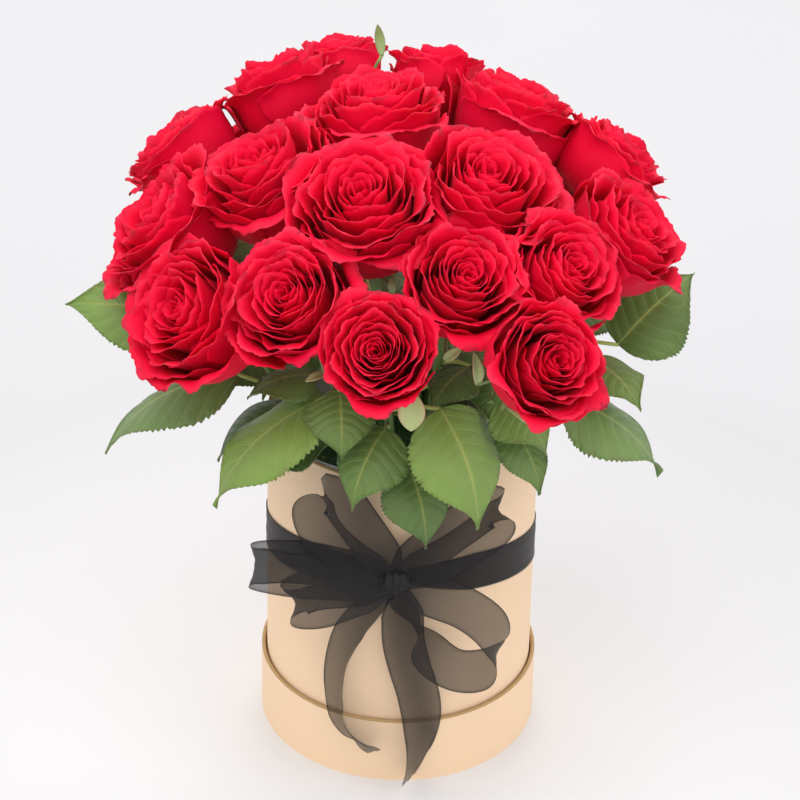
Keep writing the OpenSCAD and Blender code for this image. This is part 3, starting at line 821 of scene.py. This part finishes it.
def ribbon(rows, per, pleat, seed, knots, gather=18):
    """Sheet along rows of [x, y, z, width direction x, y, z] in millimetres, gathered into
    pleats near its ends that go into the knot: "start", "end" or both. per is the steps
    between rows, pleat the height of the soft folds."""
    p = smooth_path(rows, per)
    run = np.concatenate([[0], np.cumsum(np.linalg.norm(np.diff(p[:, :3], axis=0), axis=1))])
    near = np.minimum(run if "start" in knots else FAR, run[-1] - run if "end" in knots else FAR)
    fan = .36 + .64 * np.clip(near / gather, 0, 1) ** .8
    w = p[:, 3:] / (np.linalg.norm(p[:, 3:], axis=1)[:, None] + 1e-9)
    ahead = np.gradient(p[:, :3], axis=0)
    ahead /= np.linalg.norm(ahead, axis=1)[:, None] + 1e-9
    w = w - ahead * (w * ahead).sum(1)[:, None]
    w /= np.linalg.norm(w, axis=1)[:, None] + 1e-9
    n = np.cross(ahead, w)
    u = np.linspace(-1, 1, RIBBON_COLS)
    half = w * (fan * RIBBON_W / MM / 2)[:, None]
    pts = p[:, None, :3] + u[None, :, None] * half[:, None, :]
    rng = np.random.default_rng(seed)
    v = np.linspace(0, 1, len(p))
    soft = wobble(rng, u[None, :] * 1.3 + v[:, None] * 1.6, 3) * pleat
    crimp = 1.9 * (1 - fan)[:, None] * np.sin(u * 8 + rng.uniform(0, TAU))
    return (pts + (soft + crimp)[..., None] * n[:, None, :]) * MM


def band_rows():
    """Round the tube from the knot and back to it, a little off the tube near the knot."""
    rows = []
    first, last, gap = -90, 270, 3
    for a in np.linspace(first + gap, last - gap, 49):
        c, s = math.cos(math.radians(a)), math.sin(math.radians(a))
        z = BAND_Z / MM - BAND_R * s * math.tan(BAND_PITCH) - BAND_R * c * math.tan(BAND_ROLL)
        near = math.radians(min(abs(a - first), abs(a - last)))
        r = BAND_R + .9 * math.exp(-(near / .25) ** 2)
        rows.append([r * c, r * s, z, 0, 0, 1])
    return rows


def make_band(material):
    rows = band_rows()
    skin = Skin()
    skin.grid(ribbon(rows, 4, .15, BAND_SEED, ("start", "end"), gather=40), (0, 0, 0))
    obj = skin.build("ribbon_round_tube", material, "box", "ribbon_band", RIBBON_T)


# Bow loops and tails: points along each ribbon, with the vector across its width (mm)
K = KNOT / MM
LOOPS = {
    "loop_upper_left": [
        [K[0], -88, K[2] + 2, 8, 0, 6], [-13, -91, 172, 18, 5, 11], [-26, -94, 196, 20, 6, 9],
        [-35, -97, 212, 22, 8, 6], [-44, -100, 216, 22, 9, 4], [-50, -99, 207, 22, 6, 7],
        [-45, -95, 187, 20, 4, 11], [-27, -91, 165, 14, 2, 12], [K[0], -88, K[2], 8, 0, 6]],
    "loop_left": [
        [K[0], -89, K[2] + 2, 0, 3, 9], [-31, -95, 155, 2, 12, 20], [-57, -102, 161, 4, 15, 20],
        [-76, -106, 167, 3, 15, 19], [-83, -103, 168, 0, 14, 20], [-77, -97, 167, -1, 14, 20],
        [-50, -92, 163, 0, 10, 20], [K[0], -88, K[2], 0, 3, 9]],
    "loop_lower_left": [
        [K[0], -88.5, K[2] - 1, -2, 2, 8], [-26, -96, 144, -5, 9, 18],
        [-44, -103, 141, -7, 12, 18], [-57, -104, 141, -8, 13, 19], [-60, -98, 143, -8, 12, 19],
        [-48, -93, 146, -6, 10, 18], [-26, -91, 147, -4, 7, 18],
        [K[0], -87.5, K[2] - 1, -2, 2, 8]],
    "loop_upper_right": [
        [K[0], -88, K[2] + 2, -7, 0, 7], [16, -91, 174, -14, 6, 15], [36, -95, 196, -14, 8, 14],
        [49, -98, 209, -13, 10, 14], [56, -99, 207, -12, 11, 14], [51, -96, 193, -14, 8, 14],
        [30, -91, 171, -12, 4, 16], [K[0], -88, K[2], -7, 0, 7]],
    "loop_lower_right": [
        [K[0] + 2, -89, K[2] - 1, 3, 2, 9], [22, -95, 143, 4, 12, 20], [39, -100, 139, 4, 13, 20],
        [53, -105, 130, 5, 14, 18], [58, -107, 115, 6, 15, 15], [50, -106, 101, 5, 14, 17],
        [34, -101, 96, 1, 13, 19], [19, -96, 104, -4, 12, 18], [8, -91, 122, -8, 6, 10],
        [K[0], -88.5, K[2] - 4, -4, 2, -7]],
}
TAILS = {
    "tail_left": [
        [-5, -87.5, 144, 9, 0, 2], [-15, -88, 134, 20, 5, 10], [-26, -87, 117, 22, 6, 10],
        [-32, -84, 98, 20, 14, 2], [-36, -82, 76, 13, 20, -8], [-36, -84, 55, 9, 22, -10],
        [-31, -88, 42, 5, 20, -14], [-21, -91, 33, 2, 17, -18], [-13, -92, 28, 2, 15, -20]],
    "tail_right": [
        [0, -88, 144, 9, 0, 0], [2, -88, 128, 18, 3, 1], [3, -88, 107, 22, 3, 1],
        [7, -88, 88, 25, 3, 2], [12, -88, 70, 25, 4, 4], [15, -88, 52, 22, 9, 4],
        [15, -89, 35, 17, 15, 0], [12, -91, 20, 11, 19, -6], [8, -93, 8, 6, 20, -10]],
}


def make_bow(material):
    for shapes, node, held, ends in ((LOOPS, "bow_loops", "gathered", ("start", "end")),
                                     (TAILS, "bow_tails", "hung", ("start",))):
        for name, rows in shapes.items():
            skin = Skin()
            skin.grid(ribbon(rows, 9, .5, len(name), ends), (0, 0, 0))
            obj = skin.build("bow_" + name, material, "box", node, RIBBON_T)


def make_knot(material):
    """The crossing wrap of the bow: a folded ribbon round its middle (mm)."""
    rng = np.random.default_rng(KNOT_SEED)
    a = np.linspace(0, TAU, 40)[:, None]
    u = np.linspace(-1, 1, 26)[None, :]
    fold = 1.3 * np.sin(u * 11 + 1.0) + .7 * wobble(rng, u * 3 + a * .3, 4)
    depth, height = 5.6 + .45 * fold - 1.6 * u ** 2, 8.0 + .55 * fold - 3.4 * u ** 2
    x = K[0] + (8.0 + np.cos(a)) * u
    y = K[1] - depth * np.cos(a)
    z = K[2] + height * np.sin(a) + .8 * u
    skin = Skin()
    skin.grid(np.stack([x, y, z], -1) * MM, (0, 0, 0))
    obj = skin.build("bow_wrap", material, "box", "bow_knot", WRAP_T)


# ---------------------------------------------------------------- all together
def use(node, material):
    obj = nodes[node]
    obj.data.materials.clear()
    obj.data.materials.append(material)


make_camera()
make_light()

lid_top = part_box("lid_rim")[1].z
use("lid_rim", paper_material("lid_paper_cream", CREAM, lid_top - LID_EDGE))
use("lid_panel", paper_material("lid_board", BOARD))
use("box_tube", paper_material("box_paper_cream", CREAM, RIM_Z - BOX_EDGE))
use("box_floor", paper_material("box_board", BOARD))
use("foam_block", foam_material())
use("liner_film", film_material())

petals, leaf, stem = petal_material(), leaf_material(), stem_material()
for i in range(len(ROSES)):
    make_bloom(i, petals)
    make_stem(i, stem)
for node in LEAVES:
    make_leaves(node, leaf)

# How clear the organza is: single in the bow, double on the band, gathered at the knot
make_knot(organza_material("organza_gathered", .12))
make_band(organza_material("organza_band", .30))
make_bow(organza_material("organza", .52))

far = 30    # the floor reaches out of every view
floor = bpy.data.meshes.new("floor")
floor.from_pydata([(-far, -far, 0), (far, -far, 0), (far, far, 0), (-far, far, 0)], [],
                  [(0, 1, 2, 3)])
floor.materials.append(floor_material())
ground = bpy.data.objects.new("floor", floor)
scene.collection.objects.link(ground)
